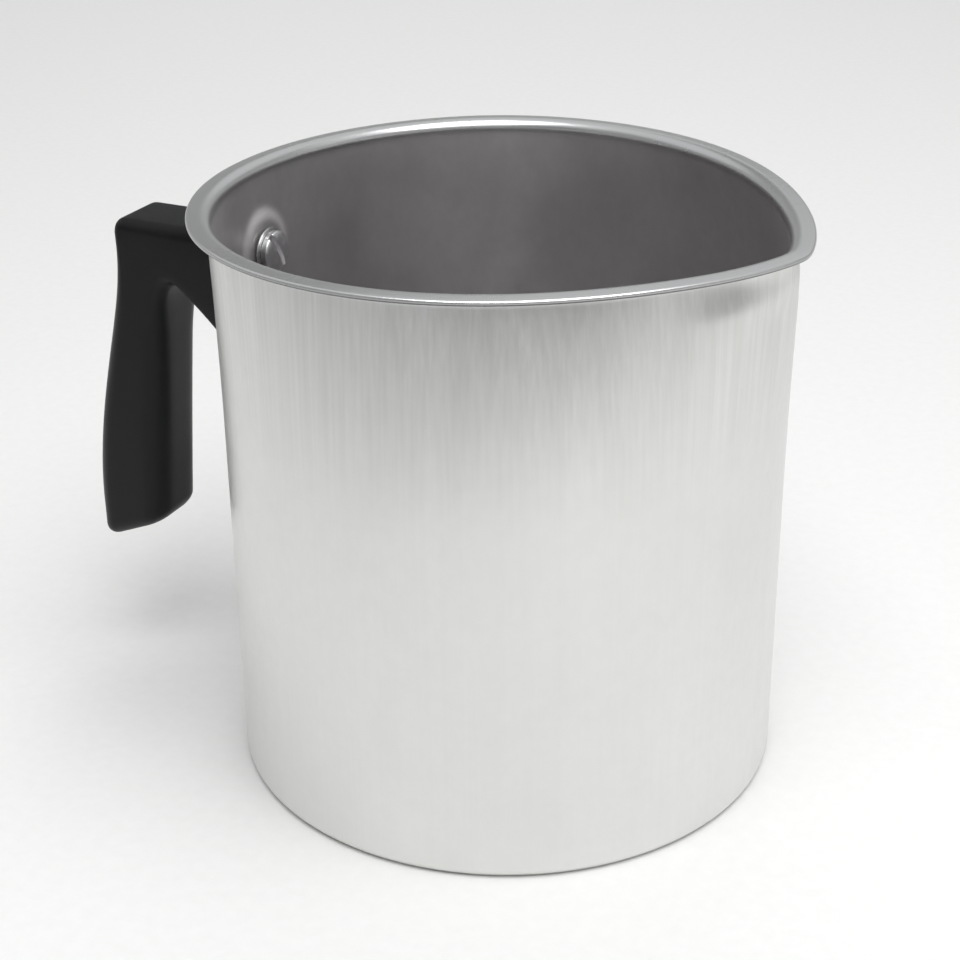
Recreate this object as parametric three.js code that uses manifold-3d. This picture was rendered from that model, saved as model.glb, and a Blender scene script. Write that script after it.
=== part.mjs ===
// A small wax melting and pouring pot, in millimetres, +Z up.
// The origin is the centre of the underside of the base. The handle stands on the -X side, in the XZ
// plane, and the pouring spout points nearly along +X, turned a little towards -Y.
import * as THREE from 'three';
import { mergeVertices } from 'three/addons/utils/BufferGeometryUtils.js';
import Module from 'manifold-3d';

// Pot: one drawn sheet.
const BODY_RADIUS = 63.5; // outside of the wall
const POT_HEIGHT = 133.4; // base to the top of the lip
const SHEET = 1.2; // thickness of the sheet
const BASE_CORNER_RADIUS = 2.2; // outside of the corner between base and wall
const LIP_BEND_RADIUS = 2.4; // upper surface of the bend that turns the wall out into the lip
const LIP_DROOP = THREE.MathUtils.degToRad(5); // the lip's outer part falls by this angle
const LIP_REACH = 4.3; // how far the lip stands out past the wall
const COLUMNS = 84; // facets round the pot
const COLUMN_SPREAD = 0.34; // how much closer they lie at the spout and at the handle
const WALL_RINGS = 16;
const RING_MARGIN = { low: 4, high: 3 }; // from the ends of the shaped part of the wall

// Spout: the rim is drawn out to a point, and the flanks beside it are pulled in.
const SPOUT_TURN = THREE.MathUtils.degToRad(-6); // direction of the spout from +X
const SPOUT_LIFT = 3; // how far the rim's tip stands out past the plain rim
const SPOUT_WIDTH = THREE.MathUtils.degToRad(48.3); // angle in which the point falls to 1/e
const SPOUT_TIP_ROUNDING = THREE.MathUtils.degToRad(2.5);
const SPOUT_DROP = 0.65; // the tip lies lower than the rest of the rim
const SPOUT_DROP_WIDTH = THREE.MathUtils.degToRad(30);
const FLANK_PULL = 11.75; // taken off the point's width, fully up to the first angle
const FLANK_START = THREE.MathUtils.degToRad(21.3);
const FLANK_END = THREE.MathUtils.degToRad(133.9); // and no more from here on
const PINCH_DEPTH = 15; // depth below the rim in which the drawn plan dies out at the spout
const FLANK_DEPTH = 50; // and further round the pot
const DEPTH_START = THREE.MathUtils.degToRad(12); // the depth grows between these two angles
const DEPTH_END = THREE.MathUtils.degToRad(32);
const GROOVE_SIZE = 1.6; // the wall stands out this far below the spout, as a shallow groove inside
const GROOVE_WIDTH = THREE.MathUtils.degToRad(20);
const GROOVE_START = 8.5; // depth below the rim where the groove is fully there
const GROOVE_FADE = 4; // and from where it fades to nothing at the next depth
const GROOVE_DEPTH = 62;

// Round boss pressed into the wall, where the handle's screw goes through.
const SCREW_HEIGHT = 112.8; // axis of the screw above the base
const BOSS_DEPTH = 1.3; // how far the boss stands into the pot
const BOSS_LAND_RADIUS = 6.5;
const BOSS_RADIUS = 10.8;

// Handle: one moulding of even thickness with rounded edges.
const HANDLE_THICKNESS = 18.5;
const HANDLE_EDGE_ROUNDING = 3;
const HANDLE_CORNER_ROUNDING = 5; // of its corners seen from the side
const HANDLE_TOP = 118.2; // height of its flat top
const NECK_REACH = 98.7; // outer face, beside the neck, from the pot's axis
const NECK_BEND = 97.5; // height at which the outer face turns from the neck to the grip
const GRIP_REACH = 110.8; // outer face at the foot of the grip
const GRIP_DEPTH = 18.9; // outer face to finger side
const GRIP_BOTTOM = 30.4; // lowest point of the handle
const GRIP_BOTTOM_RISE = 8.1; // the end of the grip slopes up by this towards the pot
const FINGER_SIDE = { x: 87, z: 94 }; // top of the grip's straight finger side
const FINGER_ARCH = { x: 82.6, z: 103.2 }; // top of the arch between grip and foot
const WEB_EDGE = { x: 75.8, z: 98.1 }; // the foot's lower edge slopes down from here
const HEEL_HEIGHT = 85; // lower end of the foot on the wall
const FOOT_OVERLAP = 12; // the foot runs on past the wall by this before it is cut to the wall's shape

// Steps from the points above to the control points of the handle's curves.
const TOE_STRETCH = 1.5; // the toe's angle is acute, so its rounding takes more length
const GRIP_CURVE_START = 9; // the outer face is straight up to here above the grip's lowest point
const GRIP_CURVE = { x: 0.7, z: 37.6 };
const NECK_CURVE = 0.4;
const ARCH_RISE = { x: 0.4, z: 5.5 };
const ARCH_CROWN_OUTER = 2.6;
const ARCH_CROWN_INNER = 2.4;
const WEB_CURVE = 2;

// Fixing.
const GAP = 0.3; // between pieces that touch
const SCREW_RADIUS = 2.45;
const SCREW_HOLE_RADIUS = 2.85;
const DRILL_REACH = 8; // the hole is cut this far to each side of the wall
const SCREW_HEAD_RADIUS = 5;
const SCREW_HEAD_HEIGHT = 2.3;
const SCREW_LENGTH = 14; // under the head
const SLOT_WIDTH = 1.4;
const SLOT_DEPTH = 1.2;
const SLOT_TURN = THREE.MathUtils.degToRad(28); // the slot's lean from upright
const WASHER_RADIUS = 5.6;
const WASHER_THICKNESS = 0.6;
const INSERT_RADIUS = 3.5;
const INSERT_LENGTH = 10;
const INSERT_GROOVE = 0.5;

const wasm = await Module();
wasm.setup();

// A closed three.js geometry as a solid that can be joined and cut.
function toSolid(geometry) {
  const bare = geometry.index ? geometry.toNonIndexed() : geometry.clone();
  bare.deleteAttribute('normal');
  bare.deleteAttribute('uv');
  const merged = mergeVertices(bare, 1e-4);
  return new wasm.Manifold(new wasm.Mesh({
    numProp: 3,
    vertProperties: merged.attributes.position.array,
    triVerts: new Uint32Array(merged.index.array),
  }));
}

function toGeometry(solid) {
  const mesh = solid.getMesh();
  const geometry = new THREE.BufferGeometry();
  geometry.setAttribute('position', new THREE.BufferAttribute(mesh.vertProperties, 3));
  geometry.setIndex(new THREE.BufferAttribute(mesh.triVerts, 1));
  const flat = geometry.toNonIndexed();
  flat.computeVertexNormals();
  return flat;
}

function named(name, geometry, material) {
  const mesh = new THREE.Mesh(geometry, material);
  mesh.name = name;
  return mesh;
}

// A turned solid with its axis on +Z from a closed [radius, height] profile.
function turned(profile, segments) {
  const points = profile.map(([r, h]) => new THREE.Vector2(r, h));
  return new THREE.LatheGeometry(points, segments).rotateX(Math.PI / 2);
}

// The same, with the profile's heights running along -X and its axis on the screw's axis.
function turnedOnScrewAxis(profile, segments) {
  return turned(profile, segments).rotateY(-Math.PI / 2).translate(0, 0, SCREW_HEIGHT);
}

const smoothstep = (x, low, high) => THREE.MathUtils.smoothstep(x, low, high);

// Angle between a direction round the pot and the spout, from 0 to half a turn.
function turnFromSpout(angle) {
  const turn = Math.abs(angle - SPOUT_TURN);
  return Math.min(turn, 2 * Math.PI - turn);
}

const NEAR_RIM = POT_HEIGHT - LIP_BEND_RADIUS;

// How fully the rim's plan is taken on at an angle from the spout and a height: 1 at the rim.
function nearRimShare(turn, height) {
  const depth = PINCH_DEPTH + (FLANK_DEPTH - PINCH_DEPTH) * smoothstep(turn, DEPTH_START, DEPTH_END);
  return THREE.MathUtils.clamp((height - NEAR_RIM + depth) / depth, 0, 1) ** 2;
}

// How far the sheet moves outwards at an angle from the spout and a height above the base.
function spoutOffset(turn, height) {
  const past = Math.hypot(turn, SPOUT_TIP_ROUNDING) - SPOUT_TIP_ROUNDING;
  const point = (SPOUT_LIFT + FLANK_PULL) * Math.exp(-past / SPOUT_WIDTH);
  const pull = FLANK_PULL * (1 - smoothstep(turn, FLANK_START, FLANK_END));
  const groove = GROOVE_SIZE * Math.exp(-((turn / GROOVE_WIDTH) ** 4));
  const below = 1 - smoothstep(height, NEAR_RIM - GROOVE_START, NEAR_RIM);
  const above = smoothstep(height, NEAR_RIM - GROOVE_DEPTH, NEAR_RIM - GROOVE_FADE);
  return (point - pull) * nearRimShare(turn, height) + groove * below * above;
}

// How far the rim drops towards the tip of the spout.
function spoutDrop(turn, height) {
  const share = smoothstep(height, NEAR_RIM - PINCH_DEPTH, NEAR_RIM);
  return share * SPOUT_DROP * Math.exp(-((turn / SPOUT_DROP_WIDTH) ** 2));
}

// The wall's radius where the round boss flattens it, given its plain radius there.
function bossRadius(radius, angle, height) {
  const fromHandleSide = Math.PI - Math.abs(angle);
  if (fromHandleSide > Math.PI / 4 || radius < BODY_RADIUS - 2 * SHEET) return radius;
  const across = radius * Math.sin(fromHandleSide);
  const distance = Math.hypot(across, height - SCREW_HEIGHT);
  const share = 1 - smoothstep(distance, BOSS_LAND_RADIUS, BOSS_RADIUS);
  const flat = (radius - BOSS_DEPTH) / Math.cos(fromHandleSide);
  return radius + share * (flat - radius);
}

// Turns a profile round the pot's axis, with columns packed closer at the spout and the boss, and
// shapes the spout and the boss into it.
function potSurface(profile) {
  const geometry = turned(profile, COLUMNS);
  const position = geometry.attributes.position;
  for (let i = 0; i < position.count; i += 1) {
    const radius = Math.hypot(position.getX(i), position.getY(i));
    const height = position.getZ(i);
    const even = Math.atan2(position.getY(i), position.getX(i));
    const angle = even - COLUMN_SPREAD * Math.sin(2 * even);
    const flattened = bossRadius(radius, angle, height);
    const nearWall = smoothstep(radius, BODY_RADIUS / 2, BODY_RADIUS - 2 * SHEET);
    const turn = turnFromSpout(angle);
    const shaped = flattened + nearWall * spoutOffset(turn, height);
    const dropped = height - nearWall * spoutDrop(turn, height);
    position.setXYZ(i, shaped * Math.cos(angle), shaped * Math.sin(angle), dropped);
  }
  return geometry;
}

// Points of an arc round [x, y], from one angle to another in degrees, both ends included.
function arc(x, y, radius, from, to, steps) {
  return Array.from({ length: steps + 1 }, (_, i) => {
    const a = THREE.MathUtils.degToRad(from + ((to - from) * i) / steps);
    return [x + radius * Math.cos(a), y + radius * Math.sin(a)];
  });
}

// Heights at which the wall has a ring of points: close together over the boss and the groove.
function wallHeights() {
  const first = NEAR_RIM - GROOVE_DEPTH + RING_MARGIN.low;
  const step = (NEAR_RIM - RING_MARGIN.high - first) / (WALL_RINGS - 1);
  return Array.from({ length: WALL_RINGS }, (_, i) => first + step * i);
}

function makePotShell() {
  const inner = BODY_RADIUS - SHEET;
  const cornerX = BODY_RADIUS - BASE_CORNER_RADIUS;
  const bendX = inner + LIP_BEND_RADIUS;
  const bendZ = POT_HEIGHT - LIP_BEND_RADIUS;
  const underBend = LIP_BEND_RADIUS - SHEET;
  const droop = THREE.MathUtils.radToDeg(LIP_DROOP);
  const middle = LIP_BEND_RADIUS - SHEET / 2;
  const edgeX = BODY_RADIUS + LIP_REACH - SHEET / 2;
  const run = (edgeX - bendX - middle * Math.sin(LIP_DROOP)) / Math.cos(LIP_DROOP);
  const edgeZ = bendZ + middle * Math.cos(LIP_DROOP) - run * Math.sin(LIP_DROOP);
  const rings = wallHeights();
  const profile = [
    [0, 0],
    ...arc(cornerX, BASE_CORNER_RADIUS, BASE_CORNER_RADIUS, -90, 0, 4),
    ...rings.map((h) => [BODY_RADIUS, h]),
    ...arc(bendX, bendZ, underBend, 180, 90 - droop, 3),
    ...arc(edgeX, edgeZ, SHEET / 2, -90 - droop, 90 - droop, 4),
    ...arc(bendX, bendZ, LIP_BEND_RADIUS, 90 - droop, 180, 5),
    ...rings.toReversed().map((h) => [inner, h]),
    ...arc(cornerX, BASE_CORNER_RADIUS, BASE_CORNER_RADIUS - SHEET, 0, -90, 3),
    [0, SHEET],
  ];
  const shell = toSolid(potSurface(profile));
  const hole = toSolid(turnedOnScrewAxis([
    [0, BODY_RADIUS - DRILL_REACH],
    [SCREW_HOLE_RADIUS, BODY_RADIUS - DRILL_REACH],
    [SCREW_HOLE_RADIUS, BODY_RADIUS + DRILL_REACH],
    [0, BODY_RADIUS + DRILL_REACH],
  ], 24));
  return toGeometry(shell.subtract(hole));
}

// Everything within the wall's outside plus the gap, over the handle's height: the foot of the
// handle is cut back by it, so that the foot follows the wall and fills the boss's hollow.
function makeWallClearance() {
  const radius = BODY_RADIUS + GAP;
  const low = HEEL_HEIGHT - FOOT_OVERLAP - SHEET;
  return toSolid(potSurface([
    [0, low],
    [radius, low],
    ...wallHeights().map((h) => [radius, h]),
    [0, wallHeights().at(-1)],
  ]));
}

// The handle's side outline, with x across the pot and y up; the handle lies at negative x. It runs
// on through the wall, where the foot is cut to the wall's shape.
function handleOutline() {
  const buried = BODY_RADIUS - FOOT_OVERLAP;
  const corner = HANDLE_CORNER_ROUNDING;
  const gripInner = GRIP_REACH - GRIP_DEPTH;
  const bottomInner = GRIP_BOTTOM + GRIP_BOTTOM_RISE;
  const bottomSlope = GRIP_BOTTOM_RISE / GRIP_DEPTH;
  const toe = TOE_STRETCH * corner;
  const outline = new THREE.Shape();
  outline.moveTo(-buried, HANDLE_TOP);
  outline.lineTo(-(NECK_REACH - corner), HANDLE_TOP);
  outline.quadraticCurveTo(-NECK_REACH, HANDLE_TOP, -NECK_REACH, HANDLE_TOP - corner);
  outline.bezierCurveTo(
    -(NECK_REACH - NECK_CURVE), NECK_BEND,
    -(GRIP_REACH + GRIP_CURVE.x), GRIP_BOTTOM + GRIP_CURVE.z,
    -GRIP_REACH, GRIP_BOTTOM + GRIP_CURVE_START,
  );
  outline.quadraticCurveTo(-GRIP_REACH, GRIP_BOTTOM, -(GRIP_REACH - toe), GRIP_BOTTOM + toe * bottomSlope);
  outline.lineTo(-(gripInner + corner), bottomInner - corner * bottomSlope);
  outline.quadraticCurveTo(-gripInner, bottomInner, -(gripInner - NECK_CURVE), bottomInner + corner);
  outline.lineTo(-FINGER_SIDE.x, FINGER_SIDE.z);
  outline.bezierCurveTo(
    -(FINGER_SIDE.x - ARCH_RISE.x), FINGER_SIDE.z + ARCH_RISE.z,
    -(FINGER_ARCH.x + ARCH_CROWN_OUTER), FINGER_ARCH.z,
    -FINGER_ARCH.x, FINGER_ARCH.z,
  );
  outline.bezierCurveTo(
    -(FINGER_ARCH.x - ARCH_CROWN_INNER), FINGER_ARCH.z,
    -(WEB_EDGE.x + WEB_CURVE), WEB_EDGE.z + WEB_CURVE,
    -WEB_EDGE.x, WEB_EDGE.z,
  );
  outline.lineTo(-(BODY_RADIUS - SHEET), HEEL_HEIGHT);
  outline.lineTo(-buried, HEEL_HEIGHT - FOOT_OVERLAP);
  outline.closePath();
  return outline;
}

function makeHandle() {
  const rounding = HANDLE_EDGE_ROUNDING;
  const slab = new THREE.ExtrudeGeometry(handleOutline(), {
    depth: HANDLE_THICKNESS - 2 * rounding,
    bevelEnabled: true,
    bevelThickness: rounding,
    bevelSize: rounding,
    bevelOffset: -rounding,
    bevelSegments: 4,
    curveSegments: 7,
  });
  slab.translate(0, 0, rounding - HANDLE_THICKNESS / 2).rotateX(Math.PI / 2);
  const insertBore = turnedOnScrewAxis([
    [0, BODY_RADIUS - 8],
    [INSERT_RADIUS + GAP, BODY_RADIUS - 8],
    [INSERT_RADIUS + GAP, BODY_RADIUS + INSERT_LENGTH + 1],
    [0, BODY_RADIUS + INSERT_LENGTH + 4],
  ], 24);
  const solid = toSolid(slab)
    .subtract(makeWallClearance())
    .subtract(toSolid(insertBore));
  return toGeometry(solid);
}

// Where the flat land of the boss lies inside the pot, and what is stacked on it.
const LAND = BODY_RADIUS - SHEET - BOSS_DEPTH;
const WASHER_SEAT = LAND - GAP;
const HEAD_SEAT = WASHER_SEAT - WASHER_THICKNESS - GAP;

function makeScrew() {
  const top = HEAD_SEAT - SCREW_HEAD_HEIGHT;
  const blank = toSolid(turnedOnScrewAxis([
    [0, top],
    [SCREW_HEAD_RADIUS * 0.55, top + 0.15],
    [SCREW_HEAD_RADIUS * 0.85, top + 0.8],
    [SCREW_HEAD_RADIUS, top + 1.9],
    [SCREW_HEAD_RADIUS, HEAD_SEAT],
    [SCREW_RADIUS, HEAD_SEAT],
    [SCREW_RADIUS, HEAD_SEAT + SCREW_LENGTH - 1],
    [SCREW_RADIUS - 1, HEAD_SEAT + SCREW_LENGTH],
    [0, HEAD_SEAT + SCREW_LENGTH],
  ], 32));
  const cutter = new THREE.BoxGeometry(2 * SLOT_DEPTH, SLOT_WIDTH, 3 * SCREW_HEAD_RADIUS)
    .rotateX(SLOT_TURN)
    .translate(-top, 0, SCREW_HEIGHT);
  return toGeometry(blank.subtract(toSolid(cutter)));
}

// A flat ring between two radii, standing on the screw's axis between two distances from the pot's.
function ringOnScrewAxis(inner, outer, near, far) {
  return turnedOnScrewAxis([[inner, near], [outer, near], [outer, far], [inner, far], [inner, near]], 32);
}

function makeWasher() {
  return ringOnScrewAxis(SCREW_HOLE_RADIUS, WASHER_RADIUS, WASHER_SEAT - WASHER_THICKNESS, WASHER_SEAT);
}

// A brass sleeve with two retaining grooves round it.
function makeInsert() {
  const near = BODY_RADIUS - BOSS_DEPTH + 2 * GAP;
  const grooved = INSERT_RADIUS - INSERT_GROOVE;
  const bore = SCREW_RADIUS + GAP;
  const profile = [[bore, near], [INSERT_RADIUS, near]];
  for (const share of [0.3, 0.6]) {
    const start = near + share * INSERT_LENGTH;
    profile.push([INSERT_RADIUS, start], [grooved, start + 0.3]);
    profile.push([grooved, start + 1.2], [INSERT_RADIUS, start + 1.5]);
  }
  profile.push([INSERT_RADIUS, near + INSERT_LENGTH], [bore, near + INSERT_LENGTH], [bore, near]);
  return turnedOnScrewAxis(profile, 24);
}

const aluminium = new THREE.MeshStandardMaterial({ color: 0xc9c9c5, roughness: 0.35, metalness: 1 });
const phenolic = new THREE.MeshStandardMaterial({ color: 0x151517, roughness: 0.45, metalness: 0 });
const plated = new THREE.MeshStandardMaterial({ color: 0xd5d5d5, roughness: 0.22, metalness: 1 });
const brass = new THREE.MeshStandardMaterial({ color: 0xb5984e, roughness: 0.4, metalness: 1 });

const pot = new THREE.Group();
pot.add(
  named('pot_shell', makePotShell(), aluminium),
  named('handle', makeHandle(), phenolic),
  named('handle_screw', makeScrew(), plated),
  named('screw_washer', makeWasher(), plated),
  named('threaded_insert', makeInsert(), brass),
);

export default pot;
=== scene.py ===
"""A drawn aluminium pouring pot for wax, with a black moulded side handle, on a pale studio floor."""

import bpy
import numpy as np
from mathutils import Matrix, Vector


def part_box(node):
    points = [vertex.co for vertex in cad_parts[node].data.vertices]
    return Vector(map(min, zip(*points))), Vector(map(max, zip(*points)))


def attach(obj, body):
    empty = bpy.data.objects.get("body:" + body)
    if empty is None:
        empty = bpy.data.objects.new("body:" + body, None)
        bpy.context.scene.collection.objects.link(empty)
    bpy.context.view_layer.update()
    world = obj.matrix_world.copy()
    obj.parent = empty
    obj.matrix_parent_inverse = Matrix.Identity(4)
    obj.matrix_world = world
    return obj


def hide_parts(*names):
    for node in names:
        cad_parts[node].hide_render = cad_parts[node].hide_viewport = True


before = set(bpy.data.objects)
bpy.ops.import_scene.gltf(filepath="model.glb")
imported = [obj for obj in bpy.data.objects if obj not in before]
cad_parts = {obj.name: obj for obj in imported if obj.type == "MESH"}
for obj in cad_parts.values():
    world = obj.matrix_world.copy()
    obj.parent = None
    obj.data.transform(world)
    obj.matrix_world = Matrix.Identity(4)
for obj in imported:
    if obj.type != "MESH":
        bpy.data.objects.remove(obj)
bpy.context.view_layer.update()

MM = 0.001
TAU = 2 * np.pi

# ---- The pot's drawn sheet, in millimetres ----
BODY_RADIUS = 63.5
SHEET = 1.2
BASE_CORNER_RADIUS = 2.2
LIP_BEND_RADIUS = 2.4
LIP_DROOP = np.radians(5)
LIP_REACH = 4.2
SPOUT_TURN = np.radians(-6)
SPOUT_LIFT = 3.0
SPOUT_WIDTH = np.radians(48.3)
SPOUT_TIP_ROUNDING = np.radians(2.5)
SPOUT_DROP = 0.65
SPOUT_DROP_WIDTH = np.radians(30)
FLANK_PULL = 11.75
FLANK_START = np.radians(21.3)
FLANK_END = np.radians(133.9)
PINCH_DEPTH = 15
FLANK_DEPTH = 50
DEPTH_START = np.radians(12)
DEPTH_END = np.radians(32)
GROOVE_SIZE = 1.6
GROOVE_WIDTH = np.radians(20)
GROOVE_START = 8.5
GROOVE_FADE = 4
GROOVE_DEPTH = 62
BOSS_DEPTH = 1.3
BOSS_LAND_RADIUS = 6.5
BOSS_RADIUS = 10.8
GAP = 0.3
COLUMNS = 360
COLUMN_SPREAD = 0.34
POLE_RADIUS = 1.5
FLOOR_MARGIN = 0.8

# ---- The moulded handle, in millimetres; reaches are measured from the pot's axis ----
HANDLE_THICKNESS = 18.5
HANDLE_TOP = 118.2
NECK_REACH = 98.7
NECK_BEND = 97.5
GRIP_REACH = 110.76
GRIP_DEPTH = 18.9
GRIP_BOTTOM = 30.4
GRIP_BOTTOM_RISE = 8.1
FINGER_SIDE = (87.0, 94.0)
FINGER_ARCH = (82.6, 103.2)
WEB_EDGE = (75.8, 98.1)
HEEL_HEIGHT = 85.0
GRIP_STRAIGHT = 9
GRIP_CURVE = (0.7, 37.6)
NECK_CURVE = 0.4
NECK_STRAIGHT = 5
NECK_SPLIT = 106.0
TOP_CORNER = 2.6
ARCH_RISE = (0.4, 5.5)
ARCH_CROWN = (2.6, 2.4)
WEB_CURVE = 2
FOOT_START = 84
TOE_ROUNDING = 3.6
TOE_STEPS = 9
FOOT_RINGS = 23
FINGER_ROUNDING = (5.6, 3.6)
PALM_ROUNDING = (4.4, 3.2)
LEAST_ROUNDING = 1.2
INSERT_BORE_RADIUS = 3.8
INSERT_BORE_DEPTH = 11.0


def place(node):
    """Lowest and highest corner of a CAD node, in millimetres."""
    low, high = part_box(node)
    return np.array(low) / MM, np.array(high) / MM


POT_HEIGHT = place("pot_shell")[1][2]
SCREW_LOW, SCREW_HIGH = place("handle_screw")
SCREW_HEIGHT = (SCREW_LOW[2] + SCREW_HIGH[2]) / 2
NEAR_RIM = POT_HEIGHT - LIP_BEND_RADIUS


# ---- Meshes from grids ----
def smoothstep(x, low, high):
    """3t^2 - 2t^3, where t runs from 0 at low to 1 at high."""
    t = np.clip((x - low) / (high - low), 0, 1)
    return t * t * (3 - 2 * t)


def arc(x, y, radius, start, end, steps):
    """Points (x + r cos a, y + r sin a), with a in degrees from start to end."""
    a = np.radians(np.linspace(start, end, steps + 1))
    return np.stack([x + radius * np.cos(a), y + radius * np.sin(a)], axis=1)


def bezier(a, b, c, d, steps):
    """Cubic curve with the Bernstein weights (1-t)^3, 3t(1-t)^2, 3t^2(1-t), t^3."""
    t = np.linspace(0, 1, steps + 1)[:, None]
    a, b, c, d = (np.array(p, float) for p in (a, b, c, d))
    return (1 - t) ** 3 * a + 3 * t * (1 - t) ** 2 * b + 3 * t**2 * (1 - t) * c + t**3 * d


def line(a, b, steps):
    """Evenly spaced points from a to b."""
    return np.linspace(np.array(a, float), np.array(b, float), steps + 1)


def spaced(points, count):
    """count points at even distances along a polyline."""
    run = np.concatenate([[0], np.cumsum(np.linalg.norm(np.diff(points, axis=0), axis=1))])
    at = np.linspace(0, run[-1], count)
    return np.stack([np.interp(at, run, points[:, k]) for k in range(points.shape[1])], axis=1)


def loops_to_faces(rings, around, first=0):
    """Quads between neighbouring closed loops of a rings x around grid of points."""
    i = np.arange(rings - 1)[:, None] * around
    j = np.arange(around)[None, :]
    k = (j + 1) % around
    quads = np.stack([i + j, i + k, i + around + k, i + around + j], axis=-1)
    return quads.reshape(-1, 4) + first


def fan_to_faces(pole, loop, flip):
    """Triangles from one pole point to each edge of a closed loop of point numbers."""
    after = np.roll(loop, -1)
    centre = np.full_like(loop, pole)
    order = [centre, after, loop] if flip else [centre, loop, after]
    return np.stack(order, axis=1)


def outward(points, faces):
    """The faces, turned round if the volume that they enclose comes out negative."""
    volume = 0.0
    for part in faces:
        a, b = points[part[:, 0]], points[part[:, 1]]
        for k in range(2, part.shape[1]):
            c = points[part[:, k]]
            volume += np.einsum("ij,ij->", a, np.cross(b, c))
            b = c
    return faces if volume > 0 else [part[:, ::-1] for part in faces]


def make_piece(name, points, faces, materials, replaced=(), values=None):
    """A smooth mesh object on the root body, from points in millimetres and arrays of faces."""
    faces = outward(points, faces)
    mesh = bpy.data.meshes.new(name)
    mesh.from_pydata((points * MM).tolist(), [], [f for part in faces for f in part.tolist()])
    mesh.polygons.foreach_set("use_smooth", np.ones(len(mesh.polygons), bool))
    for key, numbers in (values or {}).items():
        mesh.attributes.new(key, "FLOAT", "POINT").data.foreach_set("value", numbers.astype(np.float32))
    for material in materials:
        mesh.materials.append(material)
    mesh.update()
    piece = bpy.data.objects.new(name, mesh)
    bpy.context.scene.collection.objects.link(piece)
    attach(piece, "root")
    if replaced:
        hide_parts(*replaced)
    return piece


def closed_loops(grid):
    """Points and faces of a (rings, around, 3) grid whose first and last rings close on poles."""
    rings, around, _ = grid.shape
    poles = np.stack([grid[0].mean(axis=0), grid[-1].mean(axis=0)])
    points = np.concatenate([grid.reshape(-1, 3), poles])
    start = rings * around
    first = np.arange(around)
    last = first + (rings - 1) * around
    faces = [
        loops_to_faces(rings, around),
        fan_to_faces(start, first, flip=True),
        fan_to_faces(start + 1, last, flip=False),
    ]
    return points, faces


# ---- Shape of the drawn sheet ----
def turn_from_spout(angle):
    """Angle between a direction round the pot and the spout, from 0 to half a turn."""
    turn = np.abs(angle - SPOUT_TURN)
    return np.minimum(turn, TAU - turn)


def near_rim_share(turn, height):
    """How fully the rim's plan is taken on: the square of a ramp up to the rim, over a depth that grows
    by a smooth step with the angle from the spout."""
    depth = PINCH_DEPTH + (FLANK_DEPTH - PINCH_DEPTH) * smoothstep(turn, DEPTH_START, DEPTH_END)
    return np.clip((height - NEAR_RIM + depth) / depth, 0, 1) ** 2


def spout_offset(turn, height):
    """Outward move of the sheet: a point that falls off as exp(-turn/width) less the flanks' pull, both
    dying out below the rim, plus a groove of exp(-(turn/width)^4) that stands out below it."""
    past = np.hypot(turn, SPOUT_TIP_ROUNDING) - SPOUT_TIP_ROUNDING
    point = (SPOUT_LIFT + FLANK_PULL) * np.exp(-past / SPOUT_WIDTH)
    pull = FLANK_PULL * (1 - smoothstep(turn, FLANK_START, FLANK_END))
    groove = GROOVE_SIZE * np.exp(-((turn / GROOVE_WIDTH) ** 4))
    below = 1 - smoothstep(height, NEAR_RIM - GROOVE_START, NEAR_RIM)
    above = smoothstep(height, NEAR_RIM - GROOVE_DEPTH, NEAR_RIM - GROOVE_FADE)
    return (point - pull) * near_rim_share(turn, height) + groove * below * above


def spout_drop(turn, height):
    """How far the rim drops towards the tip of the spout: exp(-(turn/width)^2), near the rim only."""
    share = smoothstep(height, NEAR_RIM - PINCH_DEPTH, NEAR_RIM)
    return share * SPOUT_DROP * np.exp(-((turn / SPOUT_DROP_WIDTH) ** 2))


def boss_radius(radius, angle, height):
    """The wall's radius, moved to a flat land round the screw by a smooth step of the distance to it."""
    side = np.pi - np.abs(angle)
    across = radius * np.sin(side)
    share = 1 - smoothstep(np.hypot(across, height - SCREW_HEIGHT), BOSS_LAND_RADIUS, BOSS_RADIUS)
    flat = (radius - BOSS_DEPTH) / np.cos(np.minimum(side, np.pi / 4))
    near = (side < np.pi / 4) & (radius > BODY_RADIUS - 2 * SHEET)
    return np.where(near, radius + share * (flat - radius), radius)


def sheet_points(radius, angle, height):
    """Point of the finished sheet for a radius, an angle and a height of the plain turned one."""
    turn = turn_from_spout(angle)
    near_wall = smoothstep(radius, BODY_RADIUS / 2, BODY_RADIUS - 2 * SHEET)
    shaped = boss_radius(radius, angle, height) + near_wall * spout_offset(turn, height)
    dropped = height - near_wall * spout_drop(turn, height)
    return np.stack([shaped * np.cos(angle), shaped * np.sin(angle), dropped], axis=-1)


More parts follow.
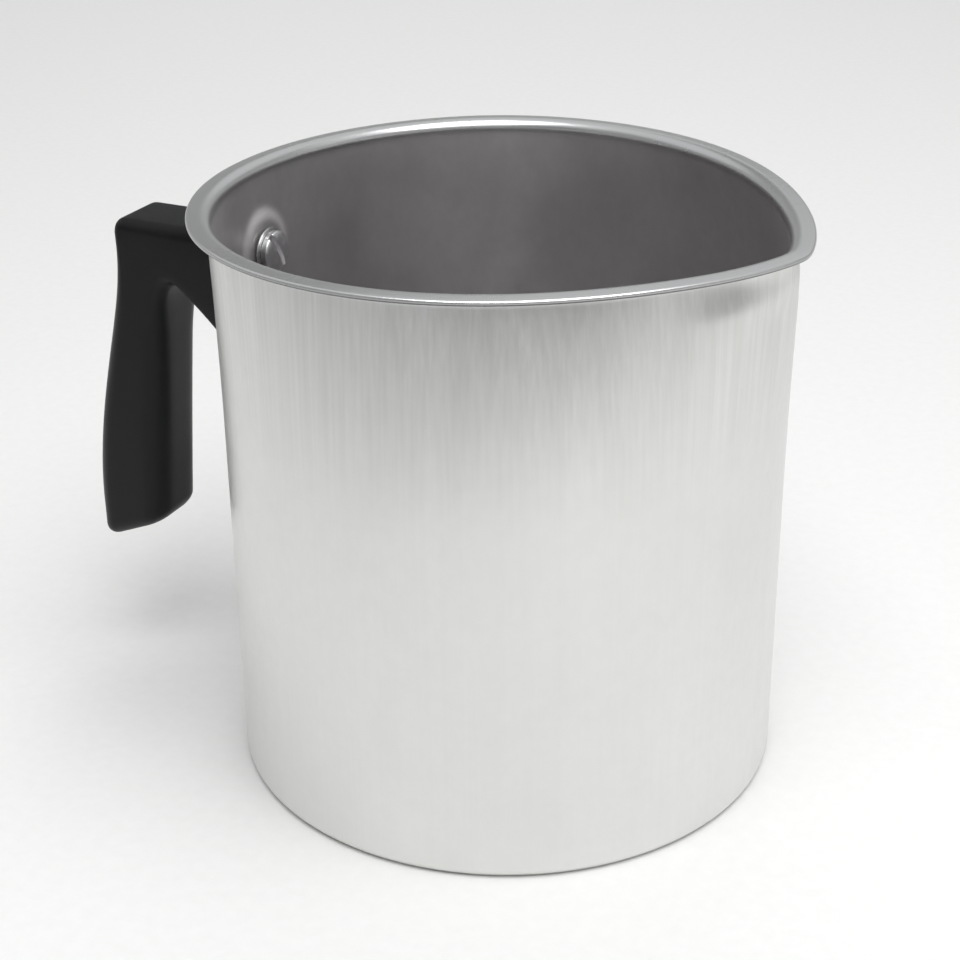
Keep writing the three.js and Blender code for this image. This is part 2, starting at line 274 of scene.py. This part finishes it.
def pot_profile():
    """Half section of the pot from the middle of its underside, up the outside, over the lip and down
    the inside to the middle of its floor: straight lines joined by arcs."""
    inner = BODY_RADIUS - SHEET
    corner = BODY_RADIUS - BASE_CORNER_RADIUS
    bend_x, bend_z = inner + LIP_BEND_RADIUS, NEAR_RIM
    middle = LIP_BEND_RADIUS - SHEET / 2
    droop = np.degrees(LIP_DROOP)
    edge_x = BODY_RADIUS + LIP_REACH - SHEET / 2
    run = (edge_x - bend_x - middle * np.sin(LIP_DROOP)) / np.cos(LIP_DROOP)
    edge_z = bend_z + middle * np.cos(LIP_DROOP) - run * np.sin(LIP_DROOP)
    plain, shaped = 84.0, bend_z - 1.0
    wall = np.concatenate([np.linspace(4, plain, 26), np.linspace(plain, shaped, 49)[1:]])
    under = arc(bend_x, bend_z, LIP_BEND_RADIUS - SHEET, 180, 90 - droop, 7)
    edge = arc(edge_x, edge_z, SHEET / 2, -90 - droop, 90 - droop, 8)
    over = arc(bend_x, bend_z, LIP_BEND_RADIUS, 90 - droop, 180, 12)
    return np.concatenate([
        line((POLE_RADIUS, 0), (corner - FLOOR_MARGIN, 0), 12),
        arc(corner, BASE_CORNER_RADIUS, BASE_CORNER_RADIUS, -90, 0, 9),
        np.stack([np.full_like(wall, BODY_RADIUS), wall], axis=1),
        under,
        line(under[-1], edge[0], 3)[1:-1],
        edge,
        line(edge[-1], over[0], 3)[1:-1],
        over,
        np.stack([np.full_like(wall, inner), wall[::-1]], axis=1),
        arc(corner, BASE_CORNER_RADIUS, BASE_CORNER_RADIUS - SHEET, 0, -90, 6),
        line((corner - FLOOR_MARGIN, SHEET), (POLE_RADIUS, SHEET), 12),
    ])


def over_points(values):
    """One value per ring of the pot, repeated for its columns, with 0 at the two poles."""
    return np.concatenate([np.repeat(values, COLUMNS), [0, 0]])


def boss_slope(profile, angle):
    """4s(1-s), where s is the boss's share: 1 half way down the boss's slope and 0 away from it. It masks a
    painted highlight on the boss.
    """
    side = np.pi - np.abs((angle + np.pi) % TAU - np.pi)
    distance = np.hypot(profile[:, :1] * np.sin(side), profile[:, 1:] - SCREW_HEIGHT)
    share = np.where(side < np.pi / 4, 1 - smoothstep(distance, BOSS_LAND_RADIUS, BOSS_RADIUS), 0)
    return np.concatenate([(4 * share * (1 - share)).ravel(), [0, 0]])


def make_pot_shell(materials):
    """The profile carried round the axis, with columns packed closer at the spout and at the boss, and
    values for the colour: inside the pot, whose darker colour is partly painted shade, on the lip, painted
    shade under the lip and a painted highlight on the boss's slope."""
    even = -np.pi + TAU * np.arange(COLUMNS) / COLUMNS
    angle = even - COLUMN_SPREAD * np.sin(2 * even)
    profile = pot_profile()
    reach, height = profile[:, 0], profile[:, 1]
    points, faces = closed_loops(sheet_points(reach[:, None], angle[None, :], height[:, None]))
    past_lip = np.arange(len(profile)) > int(np.argmax(height))
    # The inside mask: the inside is duller, and its darker colour is partly painted shade.
    inside = over_points(smoothstep(np.where(past_lip, POT_HEIGHT - height, 0), 1.0, 3.6))
    inside[-1] = 1
    under_edge = POT_HEIGHT - 1.0
    outside_wall = reach > BODY_RADIUS + 0.2
    values = {
        "inside": inside,
        "lip": over_points(smoothstep(height, NEAR_RIM - 1.5, NEAR_RIM + 0.3)),
        # Painted shade: mask of the lip's underside and the lower half of its edge, coloured near black.
        "painted_shade_under_lip": over_points((1 - smoothstep(height, under_edge - 0.1, under_edge + 0.4)) * outside_wall),
        # Painted highlight: mask of the boss's slope, coloured lighter.
        "painted_boss_highlight": boss_slope(profile, angle),
    }
    return make_piece("pot_shell_drawn", points, faces, materials, ("pot_shell",), values)


# ---- Handle ----
def handle_edges():
    """Outer and finger-side edges of the handle seen from the side, as matching rows of (reach,
    height): up the grip, round the neck and along the foot to the wall."""
    grip_inner = GRIP_REACH - GRIP_DEPTH
    straight_end = (GRIP_REACH, GRIP_BOTTOM + GRIP_STRAIGHT)
    neck_start = (NECK_REACH, HANDLE_TOP - NECK_STRAIGHT)
    outer_grip = np.concatenate([
        line((GRIP_REACH, GRIP_BOTTOM), straight_end, 6)[:-1],
        bezier(straight_end, (GRIP_REACH + GRIP_CURVE[0], GRIP_BOTTOM + GRIP_CURVE[1]),
               (NECK_REACH - NECK_CURVE, NECK_BEND), neck_start, 80),
    ])
    corner = TOP_CORNER
    half_way = np.searchsorted(outer_grip[:, 1], NECK_SPLIT)
    outer_grip, outer_bend = outer_grip[:half_way + 1], outer_grip[half_way:]
    outer_neck = np.concatenate([
        outer_bend,
        line(neck_start, (NECK_REACH, HANDLE_TOP - corner), 6)[1:-1],
        arc(NECK_REACH - corner, HANDLE_TOP - corner, corner, 0, 90, 10),
        line((NECK_REACH - corner, HANDLE_TOP), (FOOT_START, HANDLE_TOP), 12)[1:],
    ])
    inner_grip = line((grip_inner, GRIP_BOTTOM + GRIP_BOTTOM_RISE), FINGER_SIDE, 60)
    arch_rise = bezier(FINGER_SIDE, (FINGER_SIDE[0] - ARCH_RISE[0], FINGER_SIDE[1] + ARCH_RISE[1]),
                       (FINGER_ARCH[0] + ARCH_CROWN[0], FINGER_ARCH[1]), FINGER_ARCH, 30)
    arch_fall = bezier(FINGER_ARCH, (FINGER_ARCH[0] - ARCH_CROWN[1], FINGER_ARCH[1]),
                       (WEB_EDGE[0] + WEB_CURVE, WEB_EDGE[1] + WEB_CURVE), WEB_EDGE, 20)
    outer_foot = line((FOOT_START, HANDLE_TOP), (BODY_RADIUS - 1, HANDLE_TOP), 20)
    inner_foot = line(WEB_EDGE, (BODY_RADIUS - 1, HEEL_HEIGHT), 20)
    outer = [spaced(outer_grip, 90), spaced(outer_neck, 60)[1:], spaced(outer_foot, 24)[1:]]
    inner = [spaced(inner_grip, 90), spaced(np.concatenate([arch_rise, arch_fall[1:]]), 60)[1:],
             spaced(inner_foot, 24)[1:]]
    return np.concatenate(outer), np.concatenate(inner)


def rounded_section(half_width, half_depth, inner_radius, outer_radius, steps=8, flats=3):
    """Loops of a rounded rectangle, one row per station: x across, y through the thickness."""
    quarter = np.linspace(0, np.pi / 2, steps + 1)
    sides = []
    corners = [(1, 1, 0, outer_radius), (-1, 1, 1, inner_radius), (-1, -1, 2, inner_radius),
               (1, -1, 3, outer_radius)]
    for sx, sy, quadrant, radius in corners:
        a = quarter + quadrant * np.pi / 2
        x = sx * (half_width - radius)[:, None] + radius[:, None] * np.cos(a)
        y = sy * (half_depth - radius)[:, None] + radius[:, None] * np.sin(a)
        sides.append(np.stack([x, y], axis=-1))
    loops = []
    for k, side in enumerate(sides):
        start, end = side[:, -1], sides[(k + 1) % 4][:, 0]
        t = np.linspace(0, 1, flats + 2)[1:-1][None, :, None]
        loops += [side, start[:, None] * (1 - t) + end[:, None] * t]
    return np.concatenate(loops, axis=1)


def wall_reach(y, z, outset):
    """How far from the YZ plane the outside of the pot's wall lies at the handle, plus an outset."""
    radius = np.full_like(y, BODY_RADIUS + outset)
    for _ in range(3):
        angle = np.pi - np.arcsin(y / radius)
        radius = boss_radius(np.full_like(y, BODY_RADIUS + outset), angle, z)
        radius = radius + spout_offset(turn_from_spout(angle), z)
    return np.sqrt(radius**2 - y**2)


def handle_stations():
    """Matching outer and inner points of the handle, with the toe's end drawn in as a quarter turn, and
    how far each section is inset: toe (1 - sin t) over that quarter, then 0."""
    outer, inner = handle_edges()
    t = np.linspace(0, np.pi / 2, TOE_STEPS + 1)[1:]
    first = np.searchsorted(outer[:, 1], GRIP_BOTTOM + TOE_ROUNDING)
    drawn_in = (1 - np.cos(t))[:, None]
    outer_toe = outer[0] + (outer[first] - outer[0]) * drawn_in
    inner_toe = inner[0] + (inner[first] - inner[0]) * drawn_in
    outer = np.concatenate([outer_toe, outer[first + 1:]])
    inner = np.concatenate([inner_toe, inner[first + 1:]])
    inset = np.concatenate([TOE_ROUNDING * (1 - np.sin(t)), np.zeros(len(outer) - TOE_STEPS)])
    return outer, inner, inset


def handle_body():
    """Rounded rectangles across the handle, one ring per station, the last ones carried to the wall."""
    outer, inner, inset = handle_stations()
    run = np.concatenate([[0], np.cumsum(np.linalg.norm(np.diff(inner, axis=0), axis=1))])
    neck = smoothstep(run / run[-1], 0.5, 0.68)
    inner_radius = FINGER_ROUNDING[0] + (FINGER_ROUNDING[1] - FINGER_ROUNDING[0]) * neck
    outer_radius = PALM_ROUNDING[0] + (PALM_ROUNDING[1] - PALM_ROUNDING[0]) * neck
    across = outer - inner
    width = np.linalg.norm(across, axis=1)
    unit = across / width[:, None]
    middle = (outer + inner) / 2
    section = rounded_section(width / 2 - inset, HANDLE_THICKNESS / 2 - inset,
                              np.maximum(inner_radius - inset * 0.7, LEAST_ROUNDING),
                              np.maximum(outer_radius - inset * 0.7, LEAST_ROUNDING))
    reach = middle[:, None, 0] + section[..., 0] * unit[:, None, 0]
    height = middle[:, None, 1] + section[..., 0] * unit[:, None, 1]
    y = section[..., 1]
    wall = wall_reach(y[-1], height[-1], GAP)
    t = np.zeros(len(outer))
    t[-FOOT_RINGS:] = np.linspace(0, 1, FOOT_RINGS)
    reach = reach + smoothstep(t, 0, 1)[:, None] * (wall - reach[-1])[None, :]
    return np.stack([-reach, y, height], axis=-1)


def handle_foot(end):
    """Rings from the foot's edge to the insert's bore along the wall, then into the bore."""
    angle = np.arctan2(end[:, 2] - SCREW_HEIGHT, end[:, 1])
    ring = np.stack([INSERT_BORE_RADIUS * np.cos(angle),
                     SCREW_HEIGHT + INSERT_BORE_RADIUS * np.sin(angle)], axis=1)
    blend = np.linspace(0, 1, 14)[1:, None, None]
    face = end[None, :, 1:] * (1 - blend) + ring[None] * blend
    face_reach = wall_reach(face[..., 0], face[..., 1], GAP)
    foot = np.concatenate([-face_reach[..., None], face], axis=-1)
    bore_reach = BODY_RADIUS + np.array([2.0, 6.0, INSERT_BORE_DEPTH, INSERT_BORE_DEPTH + 0.01])
    bore = np.stack([np.concatenate([np.full((len(ring), 1), -x), ring], axis=1) for x in bore_reach])
    return np.concatenate([foot, bore])


def make_handle(materials):
    """The handle's rings from its toe to the wall, closed there by a face round the insert's bore."""
    body = handle_body()
    points, faces = closed_loops(np.concatenate([body, handle_foot(body[-1])]))
    return make_piece("handle_moulding", points, faces, materials, ("handle",))


# ---- Screw and washer ----
def on_screw_axis(points):
    """Turns (u, v, height above the wall's inside) into the row frame, on the screw's axis."""
    u, v, up = points[..., 0], points[..., 1], points[..., 2]
    return np.stack([up, u, v + SCREW_HEIGHT], axis=-1)


def make_screw(materials):
    """Cheese head with a domed top and a straight slot, and a plain shank. The head's top is a grid of
    lines parallel to the slot, with height dome(r) outside the slot and its floor inside."""
    radius, slot, lean = 5.0, 1.4, np.radians(28)
    top = SCREW_HIGH[0]
    seat = top - 2.3
    shank, end = 2.45, SCREW_LOW[0]
    half = slot / 2
    outside = np.sin(np.linspace(-np.pi / 2, -np.arcsin(half / radius), 26)) * radius
    lines = np.concatenate([outside, [-half + 0.02, 0, half - 0.02], -outside[::-1]])
    cut = np.zeros(len(lines), bool)
    cut[26:29] = True
    t = np.sin(np.linspace(-np.pi / 2, np.pi / 2, 41))
    u = np.repeat(lines[:, None], len(t), axis=1)
    v = t[None, :] * np.sqrt(np.maximum(radius**2 - u**2, 0))
    r = np.hypot(u, v) / radius
    dome = seat + 1.25 + (top - seat - 1.25) * np.sqrt(np.maximum(1 - r**2.2, 0))
    w = np.where(cut[:, None], np.minimum(dome, top - 1.2), dome)
    grid = np.stack([u, v, w], axis=-1)
    n, m, _ = grid.shape
    number = np.arange(n * m).reshape(n, m)
    quads = np.stack([number[:-1, :-1], number[1:, :-1], number[1:, 1:], number[:-1, 1:]], axis=-1)
    rim = np.concatenate([number[0, m // 2:m // 2 + 1], number[1:-1, 0], number[-1, m // 2:m // 2 + 1],
                          number[-2:0:-1, -1]])
    points = grid.reshape(-1, 3)
    points[number[0], 1] = 0
    points[number[-1], 1] = 0
    loop = points[rim]
    direction = loop[:, :2] / np.linalg.norm(loop[:, :2], axis=1)[:, None]
    rings = []
    for ring_radius, level in ((radius, seat + 0.15), (radius - 0.15, seat), (shank, seat),
                               (shank, seat - 6), (shank, end + 1), (shank - 1, end)):
        rings.append(np.concatenate([direction * ring_radius, np.full((len(rim), 1), level)], axis=1))
    start = len(points)
    points = np.concatenate([points, *rings, [[0, 0, end]]])
    around = len(rim)
    first = start + np.arange(around)
    skirt = np.stack([rim, np.roll(rim, -1), np.roll(first, -1), first], axis=1)
    shank_faces = loops_to_faces(len(rings), around, start)
    tip = fan_to_faces(len(points) - 1, start + (len(rings) - 1) * around + np.arange(around), flip=False)
    turned = points.copy()
    turned[:, 0] = points[:, 0] * np.cos(lean) - points[:, 1] * np.sin(lean)
    turned[:, 1] = points[:, 0] * np.sin(lean) + points[:, 1] * np.cos(lean)
    return make_piece("handle_screw_slotted", on_screw_axis(turned),
                      [quads.reshape(-1, 4), skirt, shank_faces, tip],
                      materials, ("handle_screw",))


def make_washer(materials):
    """A flat ring with its edges broken: a closed rounded-rectangle loop carried round the axis."""
    low, high = place("screw_washer")
    outer = (high[2] - low[2]) / 2
    bore, near, far, edge = 2.85, low[0], high[0], 0.12
    loop = np.array([
        (bore + edge, near), (outer - edge, near), (outer, near + edge), (outer, far - edge),
        (outer - edge, far), (bore + edge, far), (bore, far - edge), (bore, near + edge),
    ])
    around = 96
    a = TAU * np.arange(around) / around
    grid = np.stack([
        loop[:, :1] * np.cos(a), loop[:, :1] * np.sin(a), np.repeat(loop[:, 1:], around, axis=1),
    ], axis=-1)
    closed = np.concatenate([grid, grid[:1]])
    faces = loops_to_faces(len(closed), around) % (len(grid) * around)
    return make_piece("screw_washer_stamped", on_screw_axis(grid.reshape(-1, 3)), [faces],
                      materials, ("screw_washer",))


# ---- Finishes ----
class Finish:
    """A Principled material under construction, with short calls for its texture nodes."""

    def __init__(self, name, color, metallic, roughness, **sockets):
        self.material = bpy.data.materials.new(name)
        self.material.use_nodes = True
        self.nodes = self.material.node_tree.nodes
        self.links = self.material.node_tree.links
        self.shader = self.nodes["Principled BSDF"]
        self.set(self.shader, {"Base Color": (*color, 1), "Metallic": metallic, "Roughness": roughness})
        self.set(self.shader, sockets)
        self.place = self.nodes.new("ShaderNodeTexCoord").outputs["Object"]

    def set(self, node, values):
        for key, value in values.items():
            socket = node.inputs[key]
            if isinstance(value, bpy.types.NodeSocket):
                self.links.new(value, socket)
            else:
                socket.default_value = value

    def add(self, kind, values=None, **settings):
        node = self.nodes.new("ShaderNode" + kind)
        for key, value in settings.items():
            setattr(node, key, value)
        self.set(node, values or {})
        return node

    def noise(self, per_metre, detail=3.0, rough=0.55, source=None):
        """Noise from 0 to 1 with per_metre cycles along x, y and z."""
        spot = self.add("Mapping", {"Vector": source or self.place, "Scale": per_metre})
        cloud = self.add("TexNoise", {"Vector": spot.outputs[0], "Scale": 1.0, "Detail": detail,
                                      "Roughness": rough})
        return cloud.outputs["Fac"]

    def spread(self, source, low, high, start=0.3, end=0.7):
        """The source, carried from start..end to low..high."""
        node = self.add("MapRange", {"Value": source, "From Min": start, "From Max": end,
                                     "To Min": low, "To Max": high})
        return node.outputs[0]

    def math(self, operation, a, b=0.0):
        node = self.add("Math", operation=operation)
        for k, value in enumerate((a, b)):
            if isinstance(value, bpy.types.NodeSocket):
                self.links.new(value, node.inputs[k])
            else:
                node.inputs[k].default_value = value
        return node.outputs[0]

    def blend(self, factor, a, b):
        """Colour a where the factor is 0 and b where it is 1."""
        node = self.add("Mix", data_type="RGBA")
        for k, value in ((0, factor), (6, a), (7, b)):
            if isinstance(value, bpy.types.NodeSocket):
                self.links.new(value, node.inputs[k])
            else:
                node.inputs[k].default_value = (*value, 1) if k else value
        return node.outputs[2]

    def bump(self, height, distance, strength=1.0, under=None):
        values = {"Height": height, "Distance": distance, "Strength": strength}
        if under:
            values["Normal"] = under
        return self.add("Bump", values).outputs[0]

    def use(self, **sockets):
        names = {"color": "Base Color", "roughness": "Roughness", "normal": "Normal"}
        self.set(self.shader, {names[key]: value for key, value in sockets.items()})
        return self.material


def drawn_aluminium():
    """Satin sheet: upright draw marks that show most under the lip, a cloudy sheen with fine mottling,
    and a duller inside whose greyer colour is partly painted shade. Painted shade darkens the lip's
    underside and a painted highlight lightens the boss's slope."""
    f = Finish("drawn_aluminium_satin", (0.8, 0.8, 0.79), 1.0, 0.34)
    inside = f.add("Attribute", attribute_name="inside").outputs["Fac"]
    height = f.add("SeparateXYZ", {"Vector": f.place}).outputs["Z"]
    high = f.spread(height, 0.10, 1.0, 0.085, 0.128)
    marks = f.noise((1100, 1100, 7), 2.0)
    bands = f.noise((210, 210, 9), 2.0)
    clouds = f.noise((26, 26, 20), 4.0, 0.6)
    mottle = f.noise((420, 420, 300), 3.0)
    streak = f.math("MULTIPLY", high, f.spread(bands, 0, 1, 0.42, 0.72))
    bright = f.blend(f.spread(clouds, 0, 1), (0.73, 0.73, 0.715), (0.785, 0.785, 0.78))
    bright = f.blend(f.math("MULTIPLY", f.spread(marks, 0, 0.5), high), bright, (0.58, 0.58, 0.56))
    bright = f.blend(f.math("MULTIPLY", streak, 0.42), bright, (0.56, 0.55, 0.53))
    bright = f.blend(f.spread(mottle, 0, 0.10), bright, (0.66, 0.66, 0.65))
    # The inside: a duller finish, made darker in part as painted shade for the inside of the pot.
    inside_dull_with_painted_shade = f.blend(f.spread(clouds, 0, 1), (0.53, 0.515, 0.52), (0.61, 0.595, 0.60))
    inside_dull_with_painted_shade = f.blend(f.spread(mottle, 0, 0.25), inside_dull_with_painted_shade, (0.45, 0.435, 0.445))
    lip = f.add("Attribute", attribute_name="lip").outputs["Fac"]
    bright = f.blend(lip, bright, (0.74, 0.74, 0.745))
    # Painted shade: the lip's underside and the lower half of its edge coloured near black, standing in for
    # the shade under the lip.
    painted_shade_under_lip = f.add("Attribute", attribute_name="painted_shade_under_lip").outputs["Fac"]
    bright = f.blend(painted_shade_under_lip, bright, (0.12, 0.12, 0.12))
    color = f.blend(inside, bright, inside_dull_with_painted_shade)
    # Painted highlight: the boss's slope coloured lighter, standing in for the light that it catches.
    painted_boss_highlight = f.add("Attribute", attribute_name="painted_boss_highlight").outputs["Fac"]
    color = f.blend(f.math("MULTIPLY", painted_boss_highlight, 0.9), color, (0.88, 0.86, 0.87))
    outside_rough = f.math("ADD", f.spread(mottle, -0.02, 0.03), f.spread(clouds, 0.31, 0.38))
    inside_rough = f.spread(clouds, 0.50, 0.60)
    rough = f.add("Mix", data_type="FLOAT")
    f.links.new(inside, rough.inputs[0])
    f.links.new(outside_rough, rough.inputs[2])
    f.links.new(inside_rough, rough.inputs[3])
    burnished = f.add("Mix", data_type="FLOAT")
    f.links.new(lip, burnished.inputs[0])
    f.links.new(rough.outputs[0], burnished.inputs[2])
    f.links.new(f.spread(clouds, 0.25, 0.31), burnished.inputs[3])
    relief = f.bump(mottle, 0.000012, 0.5, f.bump(bands, 0.00002, 0.4))
    return f.use(color=color, roughness=burnished.outputs[0], normal=relief)


def black_phenolic():
    """Moulded thermoset: a fine pebbled skin and flow clouds."""
    f = Finish("black_phenolic_moulded", (0.012, 0.012, 0.013), 0.0, 0.42, **{"Specular IOR Level": 0.22})
    pebble = f.noise((2600, 2600, 2600), 2.0)
    flow = f.noise((38, 38, 60), 3.0)
    color = f.blend(f.spread(flow, 0, 1), (0.0034, 0.0034, 0.0040), (0.0064, 0.0062, 0.0072))
    rough = f.math("ADD", f.spread(flow, 0.34, 0.44), f.spread(pebble, -0.03, 0.03))
    return f.use(color=color, roughness=rough, normal=f.bump(pebble, 0.00003, 0.5))


def turned_metal(name, dark, light, rough, grain):
    """Plated or turned small parts: fine mottling of colour and sheen with faint tool marks."""
    f = Finish(name, light, 1.0, rough)
    mottle = f.noise((grain, grain, grain), 3.0)
    fine = f.noise((grain * 6, grain * 6, grain * 6), 2.0)
    color = f.blend(f.spread(mottle, 0, 1), dark, light)
    return f.use(color=color, roughness=f.spread(mottle, rough - 0.05, rough + 0.08),
                 normal=f.bump(fine, 0.00001, 0.5))


def studio_floor():
    """Pale backdrop paper with painted shade: pale where the pot stands and behind it, and painted darker
    towards the front left, standing in for the key light falling off.
    """
    f = Finish("pale_paper_floor", (0.86, 0.86, 0.85), 0.0, 0.75)
    fibre = f.noise((300, 300, 300), 2.0)
    pale = f.blend(f.spread(fibre, 0, 1), (0.85, 0.85, 0.84), (0.87, 0.87, 0.86))
    # Painted shade: the floor's colour darkens towards the front left, standing in for the key light falling
    # off.
    along = f.add("VectorMath", {0: f.place, 1: (-0.28, -0.96, 0)}, operation="DOT_PRODUCT")
    shade = f.add("MapRange", {"Value": along.outputs["Value"], "From Min": 0.12, "From Max": 0.46},
                  interpolation_type="SMOOTHSTEP")
    return f.use(color=f.blend(shade.outputs[0], pale, (0.64, 0.64, 0.64)))


# ---- Floor, lights and camera ----
def make_floor():
    """Backdrop paper that is flat round the pot and sweeps up far from it: height grows with the fourth
    power of the distance past the flat part."""
    x = np.linspace(-4, 4, 120)
    y = np.linspace(-4, 4, 120)
    X, Y = np.meshgrid(x, y, indexing="ij")
    Z = 0.02 * np.maximum(np.hypot(X, Y) - 1.2, 0) ** 4
    points = np.stack([X, Y, Z], axis=-1).reshape(-1, 3)
    n = len(y)
    i, j = np.meshgrid(np.arange(len(x) - 1), np.arange(n - 1), indexing="ij")
    k = i * n + j
    quads = np.stack([k, k + n, k + n + 1, k + 1], axis=-1).reshape(-1, 4)
    mesh = bpy.data.meshes.new("floor_paper")
    mesh.from_pydata(points.tolist(), [], quads.tolist())
    mesh.polygons.foreach_set("use_smooth", np.ones(len(mesh.polygons), bool))
    mesh.materials.append(studio_floor())
    floor = bpy.data.objects.new("floor_paper", mesh)
    bpy.context.scene.collection.objects.link(floor)


def add_softbox(name, place_m, target_m, size, power):
    """A white rectangular lamp at one place, turned towards another."""
    light = bpy.data.lights.new(name, "AREA")
    light.shape, light.size, light.size_y = "RECTANGLE", size[0], size[1]
    light.energy = power
    lamp = bpy.data.objects.new(name, light)
    bpy.context.scene.collection.objects.link(lamp)
    direction = Vector(target_m) - Vector(place_m)
    lamp.location = place_m
    lamp.rotation_euler = direction.to_track_quat("-Z", "Y").to_euler()
    return lamp


def set_world(bright, dim):
    """Room light: bright overhead and behind the pot, dim low down in front of it, where the unlit half
    of the studio is."""
    world = bpy.data.worlds.new("studio")
    world.use_nodes = True
    nodes, links = world.node_tree.nodes, world.node_tree.links
    background = nodes["Background"]
    way = nodes.new("ShaderNodeTexCoord").outputs["Generated"]
    front = nodes.new("ShaderNodeVectorMath")
    front.operation = "DOT_PRODUCT"
    links.new(way, front.inputs[0])
    front.inputs[1].default_value = (0.44, -0.90, -0.55)
    share = nodes.new("ShaderNodeMapRange")
    share.interpolation_type = "SMOOTHSTEP"
    share.inputs["From Min"].default_value = -0.25
    share.inputs["From Max"].default_value = 0.75
    links.new(front.outputs["Value"], share.inputs["Value"])
    mix = nodes.new("ShaderNodeMix")
    mix.data_type = "RGBA"
    links.new(share.outputs[0], mix.inputs[0])
    mix.inputs[6].default_value = (*bright, 1)
    mix.inputs[7].default_value = (*dim, 1)
    links.new(mix.outputs[2], background.inputs["Color"])
    bpy.context.scene.world = world


def add_camera():
    """A short telephoto camera over the +X, -Y quarter, looking down at the rim."""
    camera = bpy.data.cameras.new("camera")
    camera.lens, camera.sensor_width = 72.25, 36
    camera.clip_start, camera.clip_end = 0.01, 50
    eye = bpy.data.objects.new("camera", camera)
    right = (0.90208, 0.43144, -0.01054)
    up = (-0.17896, 0.39617, 0.90057)
    back = (0.39271, -0.81050, 0.43459)
    stand = (0.16987, -0.36428, 0.25948)
    eye.matrix_world = Matrix((
        (right[0], up[0], back[0], stand[0]),
        (right[1], up[1], back[1], stand[1]),
        (right[2], up[2], back[2], stand[2]),
        (0, 0, 0, 1),
    ))
    bpy.context.scene.collection.objects.link(eye)
    bpy.context.scene.camera = eye


make_pot_shell([drawn_aluminium()])
make_handle([black_phenolic()])
make_screw([turned_metal("zinc_plated_steel", (0.74, 0.74, 0.76), (0.92, 0.92, 0.93), 0.36, 700)])
make_washer([turned_metal("plain_washer_steel", (0.5, 0.5, 0.5), (0.68, 0.68, 0.67), 0.34, 700)])
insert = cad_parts["threaded_insert"]
insert.material_slots[0].material = turned_metal(
    "turned_brass", (0.6, 0.44, 0.2), (0.72, 0.57, 0.3), 0.36, 700)

bpy.context.scene.view_settings.view_transform = "Standard"
make_floor()
set_world((0.60, 0.61, 0.61), (0.08, 0.08, 0.085))
add_softbox("softbox_key", (0.30, -0.30, 0.95), (0, 0, 0.0), (0.8, 0.8), 8.0)
backdrop_light = add_softbox("softbox_backdrop", (-0.50, 1.0, 1.2), (-0.40, 0.85, 0.0), (1.0, 1.0), 4.5)
backdrop_light.visible_glossy = False
add_camera()
